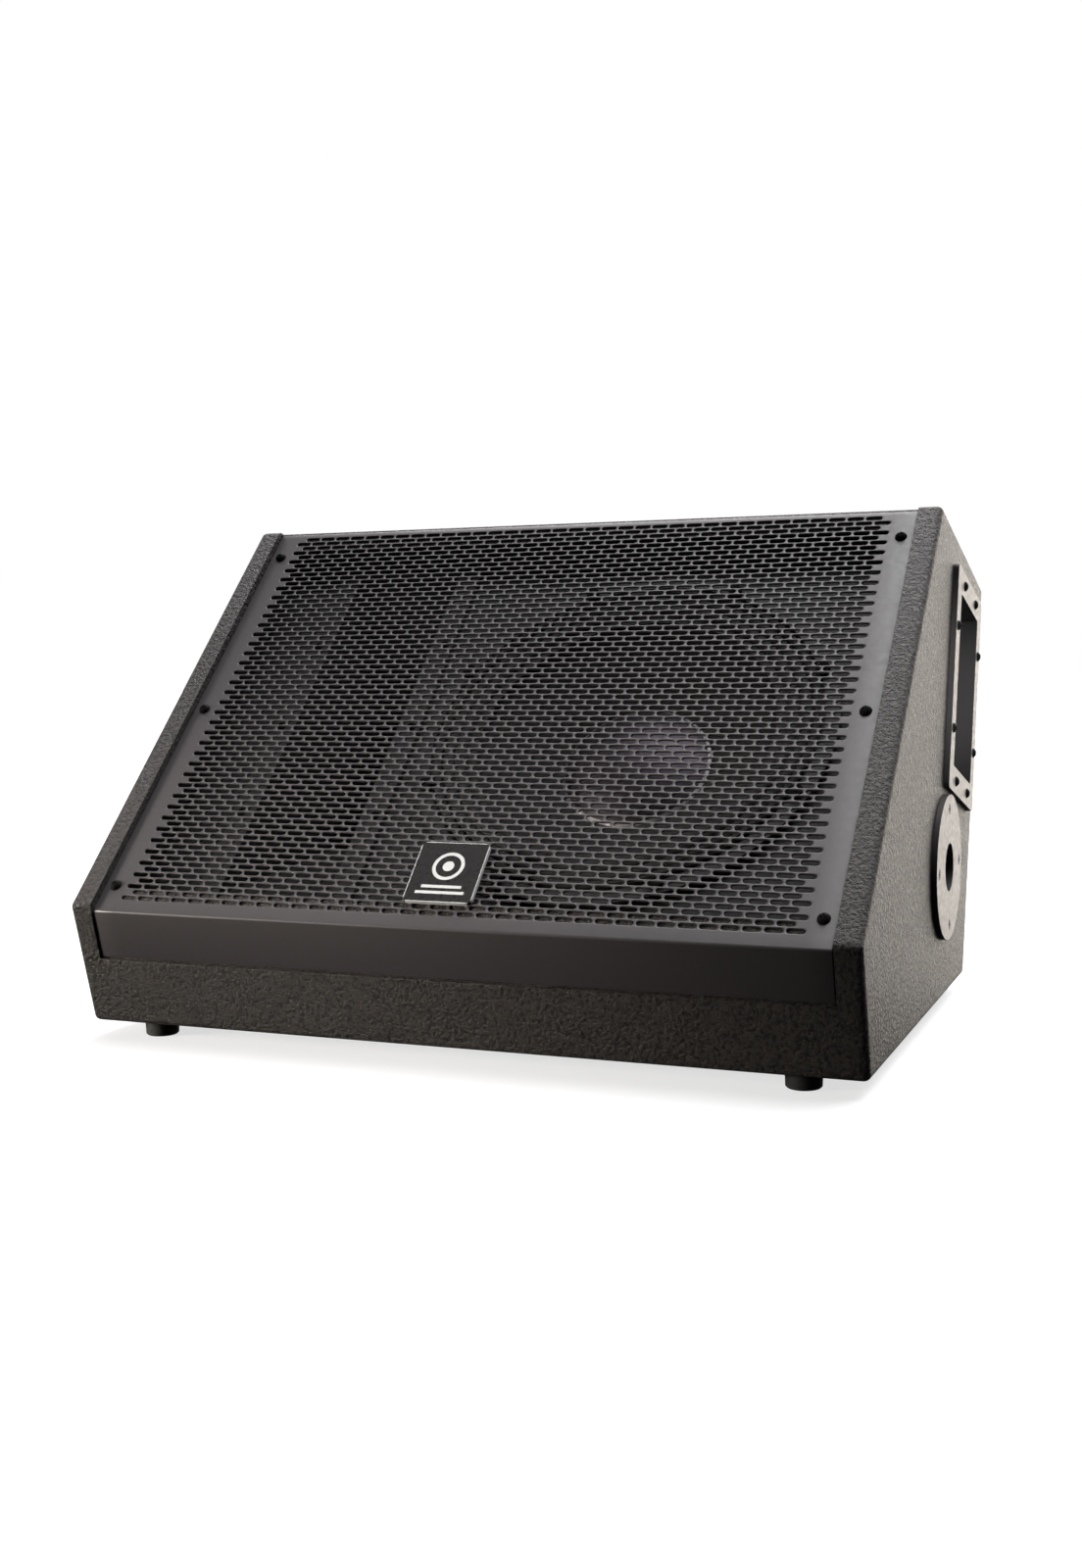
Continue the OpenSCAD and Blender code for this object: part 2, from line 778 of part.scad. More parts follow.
board_at = [60, 276, ply];
board_size = [150, 84];
standoff_h = 8;
board_t = 1.6;

module board_frame() translate(board_at) children();
module board_top() board_frame() translate([0, 0, standoff_h + board_t]) children();

module board_corners() {
    for (sx = [-1, 1], sy = [-1, 1]) {
        translate([sx * (board_size[0] / 2 - 6), sy * (board_size[1] / 2 - 6), 0]) children();
    }
}

module crossover_board() color([0.15, 0.35, 0.2]) board_frame() {
    translate([0, 0, standoff_h]) difference() {
        linear_extrude(board_t) square(board_size, center = true);
        board_corners() translate([0, 0, -1]) cylinder(r = 1.8, h = 4);
    }
}

module crossover_standoffs() color("white") board_frame() board_corners() {
    cylinder(r = 3.5, h = standoff_h);
    cylinder(r = 1.7, h = standoff_h + board_t + 1);
    translate([0, 0, standoff_h + board_t]) cylinder(r = 3, h = 2);
}

coil_x = [-46, 8];

module crossover_coils() color([0.75, 0.42, 0.2]) board_top() for (x = coil_x) {
    translate([x, 16, 0]) difference() {
        cylinder(r = 19, h = 20);
        translate([0, 0, -1]) cylinder(r = 8, h = 22);
    }
}

module crossover_capacitors() color([0.85, 0.7, 0.2]) board_top() for (x = [-52, -20, 12]) {
    translate([x - 14, -22, 8]) rotate([0, 90, 0]) cylinder(r = 8, h = 28);
}

module crossover_resistors() color([0.9, 0.88, 0.82]) board_top() for (y = [-28, -12, 4]) {
    translate([40, y - 4, 0]) cube([26, 9, 9]);
}

// ---------- Internal wiring ----------

// Points on a smooth curve through hand-picked stations, as row vectors
function curve_at(p, i, t) =
    let (a = p[max(i - 1, 0)], b = p[i], c = p[i + 1], d = p[min(i + 2, len(p) - 1)])
    0.5 * (2 * b + (c - a) * t + (2 * a - 5 * b + 4 * c - d) * t * t
        + (3 * b - a - 3 * c + d) * t * t * t);
function smooth_path(p, n) = concat(
    [for (i = [0:len(p) - 2], k = [0:n - 1]) curve_at(p, i, k / n)], [p[len(p) - 1]]);
function unit(v) = v / norm(v);
function tangent(q, i) = unit(q[min(i + 1, len(q) - 1)] - q[max(i - 1, 0)]);

// Tube swept along a path with eight sides
module sweep_tube(q, r, side) {
    sides = 8;
    n = len(q);
    rings = [for (i = [0:n - 1])
        let (t = tangent(q, i), u = unit(cross(t, side)), v = cross(t, u))
        for (k = [0:sides - 1]) q[i] + r * (cos(360 * k / sides) * u + sin(360 * k / sides) * v)];
    walls = [for (i = [0:n - 2], k = [0:sides - 1])
        let (a = i * sides + k, b = i * sides + (k + 1) % sides) [a, a + sides, b + sides, b]];
    start_cap = [[for (k = [0:sides - 1]) k]];
    end_cap = [[for (k = [sides - 1:-1:0]) (n - 1) * sides + k]];
    polyhedron(points = rings, faces = concat(walls, start_cap, end_cap), convexity = 6);
}

lead_r = 1.6;
board_z = ply + standoff_h + board_t + 2;

// From the right end of the crossover board up to the woofer's magnet
woofer_route = [
    [133, 262, board_z], [160, 262, board_z + 2], [184, 250, 50], [194, 228, 84],
    [192, 210, 112], [186, 196, 136], [176, 185, 156]
];

// From the left end of the crossover board up to the compression driver
horn_route = [
    [-13, 286, board_z], [-40, 286, board_z], [-80, 284, 40], [-108, 277, 47], [-126, 264, 56]
];

// From the input plate forward and down to the crossover board
input_route = [
    [-96, 380, 149], [-94, 366, 150], [-80, 350, 128], [-60, 334, 84],
    [-36, 318, 46], [-13, 300, board_z]
];

module wire_pair(route, offset, side) {
    for (s = [-1, 1]) {
        moved = [for (p = route) p + s * offset];
        sweep_tube(smooth_path(moved, 5), lead_r, side);
    }
}

module woofer_leads() color([0.1, 0.1, 0.1]) wire_pair(woofer_route, [0, 2.2, 0], [0, 1, 0]);
module horn_leads() color([0.6, 0.1, 0.1]) wire_pair(horn_route, [0, 2.2, 0], [0, 1, 0]);
module input_leads() color([0.1, 0.1, 0.1]) wire_pair(input_route, [0, 2.4, 0], [0, 1, 0]);

// ---------- Damping ----------

pad_size = [240, 190, 24];
pad_x = 90;
pad_y = 40;

module damping_pad() color([0.8, 0.8, 0.76]) on_face(tail, back_dir) {
    translate([pad_x - pad_size[0] / 2, pad_y, -ply - pad_size[2]]) cube(pad_size);
}

place() side_panel_left();
place() side_panel_right();
place() top_panel();
place() back_panel();
place() bottom_panel();
place() front_board();
place() baffle_board();
place() grille_cleats();
place() grille();
place() grille_screws();
place() badge();
place() handle_dish();
place() handle_bar();
place() handle_grip();
place() handle_screws();
place() pole_cup();
place() pole_cup_screws();
place() feet();
place() foot_screws();
place() woofer_frame();
place() woofer_gasket();
place() woofer_screws();
place() woofer_tee_nuts();
place() woofer_top_plate();
place() woofer_magnet();
place() woofer_pole_piece();
place() woofer_surround();
place() woofer_spider();
place() woofer_cone();
place() woofer_dust_cap();
place() woofer_voice_coil();
place() horn();
place() horn_screws();
place() driver_front_plate();
place() driver_diaphragm();
place() driver_magnet();
place() driver_rear_cover();
place() driver_bolts();
place() input_plate();
place() input_screws();
place() twist_lock_sockets();
place() jack_sockets();
place() jack_nuts();
place() switch_body();
place() switch_lever();
place() crossover_board();
place() crossover_standoffs();
place() crossover_coils();
place() crossover_capacitors();
place() crossover_resistors();
place() woofer_leads();
place() horn_leads();
place() input_leads();
place() damping_pad();
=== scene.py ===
"""Stage monitor wedge: rounded painted boards, a slotted steel grille and the finishes of every part.

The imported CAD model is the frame. Everything is in metres, in the frame's own axes.
"""

import json
import math

import bmesh
import bpy
from mathutils import Matrix, Vector
from mathutils.geometry import tessellate_polygon


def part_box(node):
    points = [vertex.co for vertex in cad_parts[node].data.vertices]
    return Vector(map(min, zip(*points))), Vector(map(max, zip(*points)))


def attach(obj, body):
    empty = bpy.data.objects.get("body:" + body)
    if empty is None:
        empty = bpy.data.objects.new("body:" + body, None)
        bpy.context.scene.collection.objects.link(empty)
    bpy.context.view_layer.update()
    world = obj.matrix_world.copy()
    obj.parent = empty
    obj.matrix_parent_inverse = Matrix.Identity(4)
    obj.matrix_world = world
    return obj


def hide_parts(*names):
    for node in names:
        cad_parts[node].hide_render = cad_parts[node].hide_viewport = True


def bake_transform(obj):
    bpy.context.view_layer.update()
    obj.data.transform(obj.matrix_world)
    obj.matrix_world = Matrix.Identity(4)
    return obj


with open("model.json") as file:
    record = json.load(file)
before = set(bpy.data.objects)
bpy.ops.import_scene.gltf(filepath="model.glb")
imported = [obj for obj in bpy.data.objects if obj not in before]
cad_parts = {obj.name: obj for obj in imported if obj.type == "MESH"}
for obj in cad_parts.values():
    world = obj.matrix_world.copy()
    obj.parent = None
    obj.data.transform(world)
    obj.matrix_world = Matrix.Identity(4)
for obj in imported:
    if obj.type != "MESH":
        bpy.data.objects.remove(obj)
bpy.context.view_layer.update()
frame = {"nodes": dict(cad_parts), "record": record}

MM = 0.001
BODY = "cabinet"

# Camera: where it stands, its angles in degrees, and its sensor and lens in millimetres
CAMERA_AT = (0.5098, -1.2956, 0.2960)
CAMERA_YAW = 22.22
CAMERA_PITCH = 5.02
CAMERA_ROLL = -0.93
SENSOR_W = 36
LENS = 40.83
NEAREST = 20 * MM

# Points closer than this become one, and edges shorter than this are dropped
SAME_POINT = 1e-6
NO_EDGE = 1e-7

# Cabinet
PLY = 18 * MM
EDGE_R = 5 * MM
EDGE_STEPS = 6
BOARD_SET = 3 * MM
CLEAT_SET = 6 * MM

# Openings in the right side panel
POCKET_FROM = 30 * MM
POCKET_CLEARANCE = 0.4 * MM
CUP_HOLE_R = 22 * MM
CUP_HOLE_STEPS = 48

# Grille
GRILLE_SET = 4.5 * MM
LIP_SET = 1.5 * MM
SHEET_T = 1.5 * MM
FOLD_R = 2.4 * MM
FOLD_STEPS = 8
RIM_R = 0.5 * MM
SHEET_SMOOTH = 50
LIP_LEN = 40.5 * MM
LIP_GAP = 1.5 * MM
LEDGE_R = 0.8 * MM
SLOT_ROWS = 72
SLOTS_IN_ROW = 36
SLOT_PITCH = 14.06 * MM
HALF_PITCH = SLOT_PITCH / 2
ROW_PITCH = 5.366 * MM
SLOT_LEN = 12.5 * MM
SLOT_H = 4.05 * MM
SLOT_ARC_STEPS = 6
# Angles of a slot's round end, from its top to its bottom
SLOT_ARC = [math.pi / 2 - math.pi * k / SLOT_ARC_STEPS for k in range(SLOT_ARC_STEPS + 1)]
# Stations of a slot's wall, from front to back: growth of its outline, and depth
SLOT_WALL = [
    (0.5 * MM, 0.0),
    (0.22 * MM, 0.08 * MM),
    (0.05 * MM, 0.26 * MM),
    (0.0, 0.6 * MM),
    (0.0, SHEET_T),
]
FIRST_ROW = 12.4 * MM

# Woofer
WOOFER_X = 83 * MM
WOOFER_UP = 196 * MM
BAFFLE_SET = 30 * MM
RING_SECTORS = 24
# For each flexing ring, the radius that still moves with the cone and the one held by the frame
FLEXING_RINGS = {
    "woofer_surround": (119 * MM, 136.5 * MM),
    "woofer_spider": (52 * MM, 84 * MM),
}

# Marks on the badge and a painted highlight round its edge, from the middle of its plate
RING_UP = 5 * MM
RING_R = 10.5 * MM
RING_HALF_W = 1.3 * MM
DOT_R = 4.2 * MM
# Half width of the painted highlight, a light line round the plate's edge
EDGE_HIGHLIGHT_HALF_W = 0.5 * MM
# Height and half length of each bar
BARS = ((-12.5 * MM, 15 * MM), (-17.5 * MM, 18 * MM))
BAR_HALF_H = 1.2 * MM
# Colour of the printed marks and of the painted edge highlight
MARK_AND_HIGHLIGHT_COLOUR = (0.55, 0.56, 0.56)

# Painted highlight on the rolled rim of the dust cap: a lighter ring of the dome's metal
CAP_RIM_HIGHLIGHT_HALF_W = 2.2 * MM
CAP_RIM_HIGHLIGHT_COLOUR = (0.5, 0.47, 0.5)

# Damping pad: cells across, along and through, then its shape as shares of its size
PAD_CELLS = (48, 38, 8)
PAD_RIM = 0.45
PAD_CROWN = 0.48
PAD_LUMPS = 0.06
PAD_PULL = 0.035
PAD_TAPER = 0.05

# Floor
FLOOR_R = 8.0
FLOOR_SIDES = 64
FLOOR_DROP = 0.2 * MM
FLOOR_GREY = (0.36, 0.36, 0.36)
FLOOR_GLOW = 0.68

# Studio walls: the direction in which they are brightest, their least and greatest strength,
# the cosine of the angle from that direction at which they start to brighten, and their tint
BRIGHT_SIDE = (-0.15, 0.62, 0.77)
WALLS_DARK = 0.03
WALLS_BRIGHT = 1.45
WALLS_FROM = 0.4
WALLS_TINT = (1, 0.955, 0.98, 1)

# Studio lights
WARM = (1, 0.93, 0.84)
ROSE = (1, 0.95, 0.97)
# Direction of the overhead light, its spread in degrees and its strength
SKY_TOWARDS = (0.18, 0.25, 0.95)
SKY_SPREAD = 50
SKY_STRENGTH = 4.2
# Each soft box: where it stands, where it points, its size, its power in watts and its colour
SOFT_BOXES = {
    "behind_right": ((0.95, 2.4, 0.25), (0.3, 0.1, 0.1), (1.6, 1.6), 38, WARM),
    "over_left": ((-0.7, 1.5, 1.7), (0.0, 0.0, 0.2), (1.0, 1.0), 34, ROSE),
    "left_fill": ((-0.8, -0.65, 0.2), (-0.2, -0.24, 0.07), (0.4, 0.35), 0.85, WARM),
}
FILL_SPREAD = 25
# The narrow light for the handle's pocket: where it stands, where it points, watts and degrees
POCKET_LIGHT = ((0.95, -0.75, 0.32), (0.275, 0.13, 0.24), 55, 8)
SNOOT_BLEND = 0.6
SNOOT_SIZE = 30 * MM


# ---------- Camera ----------


def add_camera():
    """A little right of the middle, at the height of the driver face."""
    yaw, pitch, roll = (math.radians(a) for a in (CAMERA_YAW, CAMERA_PITCH, CAMERA_ROLL))
    ahead = Vector(
        (
            -math.sin(yaw) * math.cos(pitch),
            math.cos(yaw) * math.cos(pitch),
            -math.sin(pitch),
        )
    )
    level = Vector((math.cos(yaw), math.sin(yaw), 0))
    above = level.cross(ahead)
    right = math.cos(roll) * level + math.sin(roll) * above
    up = -math.sin(roll) * level + math.cos(roll) * above
    camera = add_object("camera", bpy.data.cameras.new("camera"))
    turn = Matrix((right, up, -ahead)).transposed().to_4x4()
    camera.matrix_world = Matrix.Translation(CAMERA_AT) @ turn
    camera.data.sensor_width = SENSOR_W
    camera.data.lens = LENS
    camera.data.clip_start = NEAREST
    bpy.context.scene.camera = camera


# ---------- Objects and meshes ----------


def add_object(name, data):
    """A mesh, a light or a camera as an object of the scene."""
    obj = bpy.data.objects.new(name, data)
    bpy.context.scene.collection.objects.link(obj)
    return obj


def add_mesh(name, verts, faces, smooth_angle=35):
    """A mesh object at the origin, shaded smooth up to an angle."""
    mesh = bpy.data.meshes.new(name)
    mesh.from_pydata([tuple(v) for v in verts], [], faces)
    bm = bmesh.new()
    bm.from_mesh(mesh)
    bmesh.ops.remove_doubles(bm, verts=bm.verts, dist=SAME_POINT)
    bmesh.ops.dissolve_degenerate(bm, edges=bm.edges, dist=NO_EDGE)
    bmesh.ops.recalc_face_normals(bm, faces=bm.faces)
    bm.to_mesh(mesh)
    bm.free()
    shade(mesh, smooth_angle)
    return add_object(name, mesh)


def shade(mesh, angle):
    """Smooth, with sharp edges where the faces turn by more than an angle in degrees."""
    mesh.shade_smooth()
    mesh.set_sharp_from_angle(angle=math.radians(angle))


def bake_modifiers(obj, smooth_angle):
    """The modifiers' result becomes the object's own mesh."""
    bpy.context.view_layer.update()
    graph = bpy.context.evaluated_depsgraph_get()
    mesh = bpy.data.meshes.new_from_object(obj.evaluated_get(graph))
    obj.modifiers.clear()
    obj.data = mesh
    shade(mesh, smooth_angle)


def stands_for(obj, node_name):
    """The object takes a CAD node's place and finish."""
    slot = slot_of(node_name)
    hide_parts(node_name)
    paint(obj, slot)


def slot_of(node_name):
    """The material slot that the record gives a CAD node."""
    parts = frame["record"]["subparts"]
    return next(part["material_slot"] for part in parts if part["node"] == node_name)


# ---------- Outline of the cabinet ----------


def outline_corners():
    """Toe, knee, crest, tail and heel of the cabinet's outline as (y, z), from the CAD side panel."""
    mesh = frame["nodes"]["side_panel_left"].data
    points = sorted({(round(v.co.y, 6), round(v.co.z, 6)) for v in mesh.vertices})
    low = min(p[1] for p in points)
    bottom = [p for p in points if p[1] < low + 1e-5]
    knee = points[0]
    crest = max(points, key=lambda p: p[1])
    tail = points[-1]
    return [Vector(p) for p in (bottom[0], knee, crest, tail, bottom[-1])]


CORNERS = outline_corners()
TOE, KNEE, CREST, TAIL, HEEL = CORNERS
LINES = {
    "front": (TOE, KNEE),
    "face": (KNEE, CREST),
    "top": (CREST, TAIL),
    "back": (TAIL, HEEL),
    "floor": (HEEL, TOE),
}


def along(line):
    """The direction of one of the outline's lines, clockwise round the cabinet."""
    start, end = LINES[line]
    return (end - start).normalized()


def inward(direction):
    """The way into the cabinet from a line with this direction."""
    return Vector((direction.y, -direction.x))


def crossing(line_a, depth_a, line_b, depth_b):
    """Where two of the outline's lines cross, each moved inwards by a depth."""
    da, db = along(line_a), along(line_b)
    pa = LINES[line_a][0] + inward(da) * depth_a
    pb = LINES[line_b][0] + inward(db) * depth_b
    t = (pb - pa).cross(db) / da.cross(db)
    return pa + da * t


def turned(v, angle):
    """A vector of the outline's plane, turned by an angle in radians."""
    c, s = math.cos(angle), math.sin(angle)
    return Vector((v.x * c - v.y * s, v.x * s + v.y * c))


def rounded(points, radius, inset=0.0):
    """A clockwise convex outline with rounded corners, drawn in by inset. radius is one per corner."""
    out = []
    for i, p in enumerate(points):
        r = radius[i]
        n1 = inward((p - points[i - 1]).normalized())
        n2 = inward((points[(i + 1) % len(points)] - p).normalized())
        if r == 0:
            out.append(p)
            continue
        centre = p + (n1 + n2) * (r / (1 + n1.dot(n2)))
        turn = math.atan2(n1.cross(n2), n1.dot(n2))
        for k in range(EDGE_STEPS + 1):
            out.append(centre - turned(n1, turn * k / EDGE_STEPS) * (r - inset))
    return out


def face_point(x, up, depth):
    """A point on the driver face: x across, up the slope from the knee, and depth below it."""
    d = along("face")
    p = KNEE + d * up + inward(d) * depth
    return Vector((x, p.x, p.y))


# ---------- Boards ----------


def add_board(name, corners, radius):
    """A board that runs between the side panels, with its outline given in (y, z)."""
    ring = rounded(corners, radius)
    n = len(ring)
    verts = [(end.x, p.x, p.y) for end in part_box(name) for p in ring]
    faces = [list(range(n)), list(range(2 * n - 1, n - 1, -1))]
    faces += [[i, (i + 1) % n, n + (i + 1) % n, n + i] for i in range(n)]
    board = add_mesh(name + "_board", verts, faces)
    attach(board, BODY)
    stands_for(board, name)


def add_boards():
    """The four boards between the side panels. The front one has a ledge for the grille's lip."""
    add_board(
        "top_panel",
        [
            crossing("face", CLEAT_SET, "top", 0),
            TAIL,
            crossing("back", 0, "top", PLY),
            crossing("top", PLY, "face", CLEAT_SET),
        ],
        [0, EDGE_R, 0, 0],
    )
    add_board(
        "back_panel",
        [
            crossing("top", PLY, "back", 0),
            crossing("back", 0, "floor", PLY),
            crossing("floor", PLY, "back", PLY),
            crossing("back", PLY, "top", PLY),
        ],
        [0, 0, 0, 0],
    )
    add_board(
        "bottom_panel",
        [
            crossing("floor", PLY, "back", 0),
            HEEL,
            TOE,
            crossing("front", 0, "floor", PLY),
        ],
        [0, EDGE_R, EDGE_R, 0],
    )
    front = along("front")
    ledge = KNEE - front * (LIP_LEN + LIP_GAP)
    add_board(
        "front_board",
        [
            crossing("floor", PLY, "front", 0),
            ledge,
            ledge + inward(front) * BOARD_SET,
            crossing("front", BOARD_SET, "face", CLEAT_SET),
            crossing("face", CLEAT_SET, "front", BOARD_SET + PLY),
            crossing("front", BOARD_SET + PLY, "floor", PLY),
        ],
        [0, LEDGE_R, 0, 0, 0, 0],
    )


def side_holes():
    """The openings in the right side panel as loops of (y, z): the handle's pocket and the pole cup."""
    dish = frame["nodes"]["handle_dish"].data
    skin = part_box("side_panel_right")[1].x
    pocket = [Vector((v.co.y, v.co.z)) for v in dish.vertices if v.co.x < skin - POCKET_FROM]
    cup_lo, cup_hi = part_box("pole_cup")
    centre = Vector(((cup_lo.y + cup_hi.y) / 2, (cup_lo.z + cup_hi.z) / 2))
    angles = [math.tau * k / CUP_HOLE_STEPS for k in range(CUP_HOLE_STEPS)]
    circle = [centre + CUP_HOLE_R * Vector((math.cos(a), math.sin(a))) for a in angles]
    return [convex_loop(pocket, POCKET_CLEARANCE), circle]


def convex_loop(points, grow):
    """Convex hull of points in the plane, anticlockwise, grown from its middle."""
    pts = sorted({(round(p.x, 6), round(p.y, 6)) for p in points})

    def half(run):
        """The hull's lower or upper half, without its last point."""
        out = []
        for p in run:
            while len(out) > 1 and turning(out[-2], out[-1], p) <= 0:
                out.pop()
            out.append(p)
        return out[:-1]

    hull = [Vector(p) for p in half(pts) + half(pts[::-1])]
    middle = sum(hull, Vector((0, 0))) / len(hull)
    return [p + (p - middle).normalized() * grow for p in hull]


def turning(a, b, c):
    """Above 0 where the way from a by b to c turns anticlockwise."""
    return (b[0] - a[0]) * (c[1] - a[1]) - (b[1] - a[1]) * (c[0] - a[0])


def add_side_panel(name, holes):
    """A side panel with its outer rim rounded over and its inner rim square."""
    lo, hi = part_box(name)
    side = 1 if hi.x > 0 else -1
    x_in, x_out = (lo.x, hi.x) if side > 0 else (hi.x, lo.x)
    radius = [EDGE_R] * len(CORNERS)
    rings = [(0.0, x_in)]
    for k in range(EDGE_STEPS + 1):
        a = math.pi / 2 * k / EDGE_STEPS
        x = x_out - side * EDGE_R * (1 - math.sin(a))
        rings.append((EDGE_R * (1 - math.cos(a)), x))
    verts, faces = [], []
    for inset, x in rings:
        verts += [(x, p.x, p.y) for p in rounded(CORNERS, radius, inset)]
    n = len(verts) // len(rings)
    for r in range(len(rings) - 1):
        a, b = r * n, (r + 1) * n
        faces += [[a + i, a + (i + 1) % n, b + (i + 1) % n, b + i] for i in range(n)]
    for ring, x in ((0, x_in), (len(rings) - 1, x_out)):
        loops = [[Vector(verts[ring * n + i]) for i in range(n)]]
        loops += [[Vector((x, p.x, p.y)) for p in hole] for hole in holes]
        base = len(verts)
        flat = [p for loop in loops for p in loop]
        verts += [tuple(p) for p in flat]
        # The panel is flat in x, so it is tessellated as seen along x
        seen = [[Vector((p.y, p.z, 0)) for p in loop] for loop in loops]
        faces += [[base + i for i in tri] for tri in tessellate_polygon(seen)]
    for hole in holes:
        base, m = len(verts), len(hole)
        verts += [(x_in, p.x, p.y) for p in hole] + [(x_out, p.x, p.y) for p in hole]
        faces += [
            [base + i, base + (i + 1) % m, base + m + (i + 1) % m, base + m + i]
            for i in range(m)
        ]
    board = add_mesh(name + "_board", verts, faces, smooth_angle=40)
    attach(board, BODY)
    stands_for(board, name)


# ---------- Grille ----------


def fold_path():
    """Points of the sheet's outer face from the end of the lip round the fold, with the way inward."""
    front, face = along("front"), along("face")
    corner = crossing("front", LIP_SET, "face", GRILLE_SET)
    n1, n2 = inward(front), inward(face)
    centre = corner + (n1 + n2) * (FOLD_R / (1 + n1.dot(n2)))
    turn = math.atan2(n1.cross(n2), n1.dot(n2))
    lip_end = KNEE - front * LIP_LEN + n1 * LIP_SET
    stations = [(lip_end, n1)]
    for k in range(FOLD_STEPS + 1):
        n = turned(n1, turn * k / FOLD_STEPS)
        stations.append((centre - n * FOLD_R, n))
    return stations


class SlottedSheet:
    """Points and faces of the grille. Places on it are across and up the driver face."""

    def __init__(self):
        lo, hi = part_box("grille")
        self.middle_x = (lo.x + hi.x) / 2
        self.half_w = (hi.x - lo.x) / 2
        self.verts = []
        self.faces = []
        self.index = {}

    def at(self, x, up, depth):
        """The number of the point at a place, which is made if it isn't there yet."""
        key = (round(x, 6), round(up, 6), round(depth, 6))
        if key not in self.index:
            self.index[key] = len(self.verts)
            self.verts.append(face_point(self.middle_x + x, up, GRILLE_SET + depth))
        return self.index[key]

    def slot_end(self, cx, cy, side, r, depth):
        """One round end of a slot's outline, from its top to its bottom."""
        reach = (SLOT_LEN - SLOT_H) / 2
        return [
            self.at(cx + side * (reach + r * math.cos(a)), cy + r * math.sin(a), depth)
            for a in SLOT_ARC
        ]

    def add_plate(self, cx, cy, r, depth):
        """The sheet's front or back round one slot."""
        low, high = cy - ROW_PITCH / 2, cy + ROW_PITCH / 2
        mid = SLOT_ARC_STEPS // 2
        ends = {side: self.slot_end(cx, cy, side, r, depth) for side in (-1, 1)}
        for y, k in ((high, 0), (low, -1)):
            row = [self.at(cx + side * HALF_PITCH, y, depth) for side in (-1, 0, 1)]
            self.faces.append([*row, ends[1][k], ends[-1][k]])
        for side, run in ends.items():
            x = cx + side * HALF_PITCH
            top, bottom = self.at(x, high, depth), self.at(x, low, depth)
            self.faces.extend([top, run[k], run[k + 1]] for k in range(mid))
            self.faces.extend([bottom, run[k], run[k + 1]] for k in range(mid, SLOT_ARC_STEPS))
            self.faces.append([top, run[mid], bottom])

    def add_slot_wall(self, cx, cy):
        """The wall of one slot, from its rolled front edge to the back."""
        rings = []
        for grow, depth in SLOT_WALL:
            r = SLOT_H / 2 + grow
            right, left = (self.slot_end(cx, cy, side, r, depth) for side in (1, -1))
            rings.append(right + left[::-1])
        for ring, deeper in zip(rings, rings[1:]):
            n = len(ring)
            for i in range(n):
                j = (i + 1) % n
                self.faces.append([ring[i], ring[j], deeper[j], deeper[i]])

    def add_flat(self, a, b, low, high, depth):
        """A plain rectangle of the front or the back."""
        corners = ((a, low), (b, low), (b, high), (a, high))
        self.faces.append([self.at(x, y, depth) for x, y in corners])

    def add_row(self, row, columns):
        """A row of slots and its plain ends. Every second row has one slot fewer."""
        cy = FIRST_ROW + row * ROW_PITCH
        staggered = row % 2
        count = SLOTS_IN_ROW - staggered
        middles = [(i - (count - 1) / 2) * SLOT_PITCH for i in range(count)]
        plain = [(-self.half_w, columns[0]), (columns[-1], self.half_w)]
        if staggered:
            plain += [(columns[0], columns[1]), (columns[-2], columns[-1])]
        for cx in middles:
            self.add_slot_wall(cx, cy)
        for grow, depth in (SLOT_WALL[0], SLOT_WALL[-1]):
            for cx in middles:
                self.add_plate(cx, cy, SLOT_H / 2 + grow, depth)
            for a, b in plain:
                self.add_flat(a, b, cy - ROW_PITCH / 2, cy + ROW_PITCH / 2, depth)

    def add_lip(self, columns, up, depth):
        """The front or the back from a height on the face, round the fold, to the end of the lip."""
        previous = [self.at(x, up, depth) for x in columns]
        for p, normal in reversed(fold_path()):
            q = p + normal * depth
            row = list(range(len(self.verts), len(self.verts) + len(columns)))
            self.verts.extend(Vector((self.middle_x + x, q.x, q.y)) for x in columns)
            for i in range(len(row) - 1):
                self.faces.append([previous[i], previous[i + 1], row[i + 1], row[i]])
            previous = row


def add_grille():
    """The folded sheet with its staggered rows of slots."""
    sheet = SlottedSheet()
    columns = [HALF_PITCH * i for i in range(-SLOTS_IN_ROW, SLOTS_IN_ROW + 1)]
    for row in range(SLOT_ROWS):
        sheet.add_row(row, columns)
    columns = [-sheet.half_w, *columns, sheet.half_w]
    first = FIRST_ROW - ROW_PITCH / 2
    last = first + SLOT_ROWS * ROW_PITCH
    for depth in (0.0, SHEET_T):
        for a, b in zip(columns, columns[1:]):
            sheet.add_flat(a, b, last, (CREST - KNEE).length, depth)
        sheet.add_lip(columns, first, depth)
    obj = add_mesh("grille_sheet", sheet.verts, sheet.faces, SHEET_SMOOTH)
    close_rim(obj.data)
    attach(obj, BODY)
    stands_for(obj, "grille")


def close_rim(mesh):
    """Joins the front's free edge to the back's, all round the sheet."""
    bm = bmesh.new()
    bm.from_mesh(mesh)
    open_edges = [e for e in bm.edges if e.is_boundary]
    bmesh.ops.bridge_loops(bm, edges=open_edges)
    bmesh.ops.recalc_face_normals(bm, faces=bm.faces)
    rim = [e for e in open_edges if e.is_valid]
    bmesh.ops.bevel(bm, geom=rim, offset=RIM_R, segments=2, profile=0.5, affect="EDGES")
    bm.to_mesh(mesh)
    bm.free()
    shade(mesh, SHEET_SMOOTH)


# ---------- Materials ----------

# How finely the roughness is clouded, the part of the noise that is used, and how far it takes it
CLOUD_SCALE = 240.0
CLOUD_RANGE = (0.35, 0.65)
ROUGH_SPREAD = 0.05


def node(tree, kind, **values):
    """A shader node. Each value sets the input of that name, or else the node's own property."""
    made = tree.nodes.new(kind)
    for key, value in values.items():
        if key in made.inputs:
            made.inputs[key].default_value = value
        else:
            setattr(made, key, value)
    return made


def scaled(colour, by):
    """A colour made lighter or darker, with its alpha."""
    return (*[min(1.0, c * by) for c in colour], 1.0)


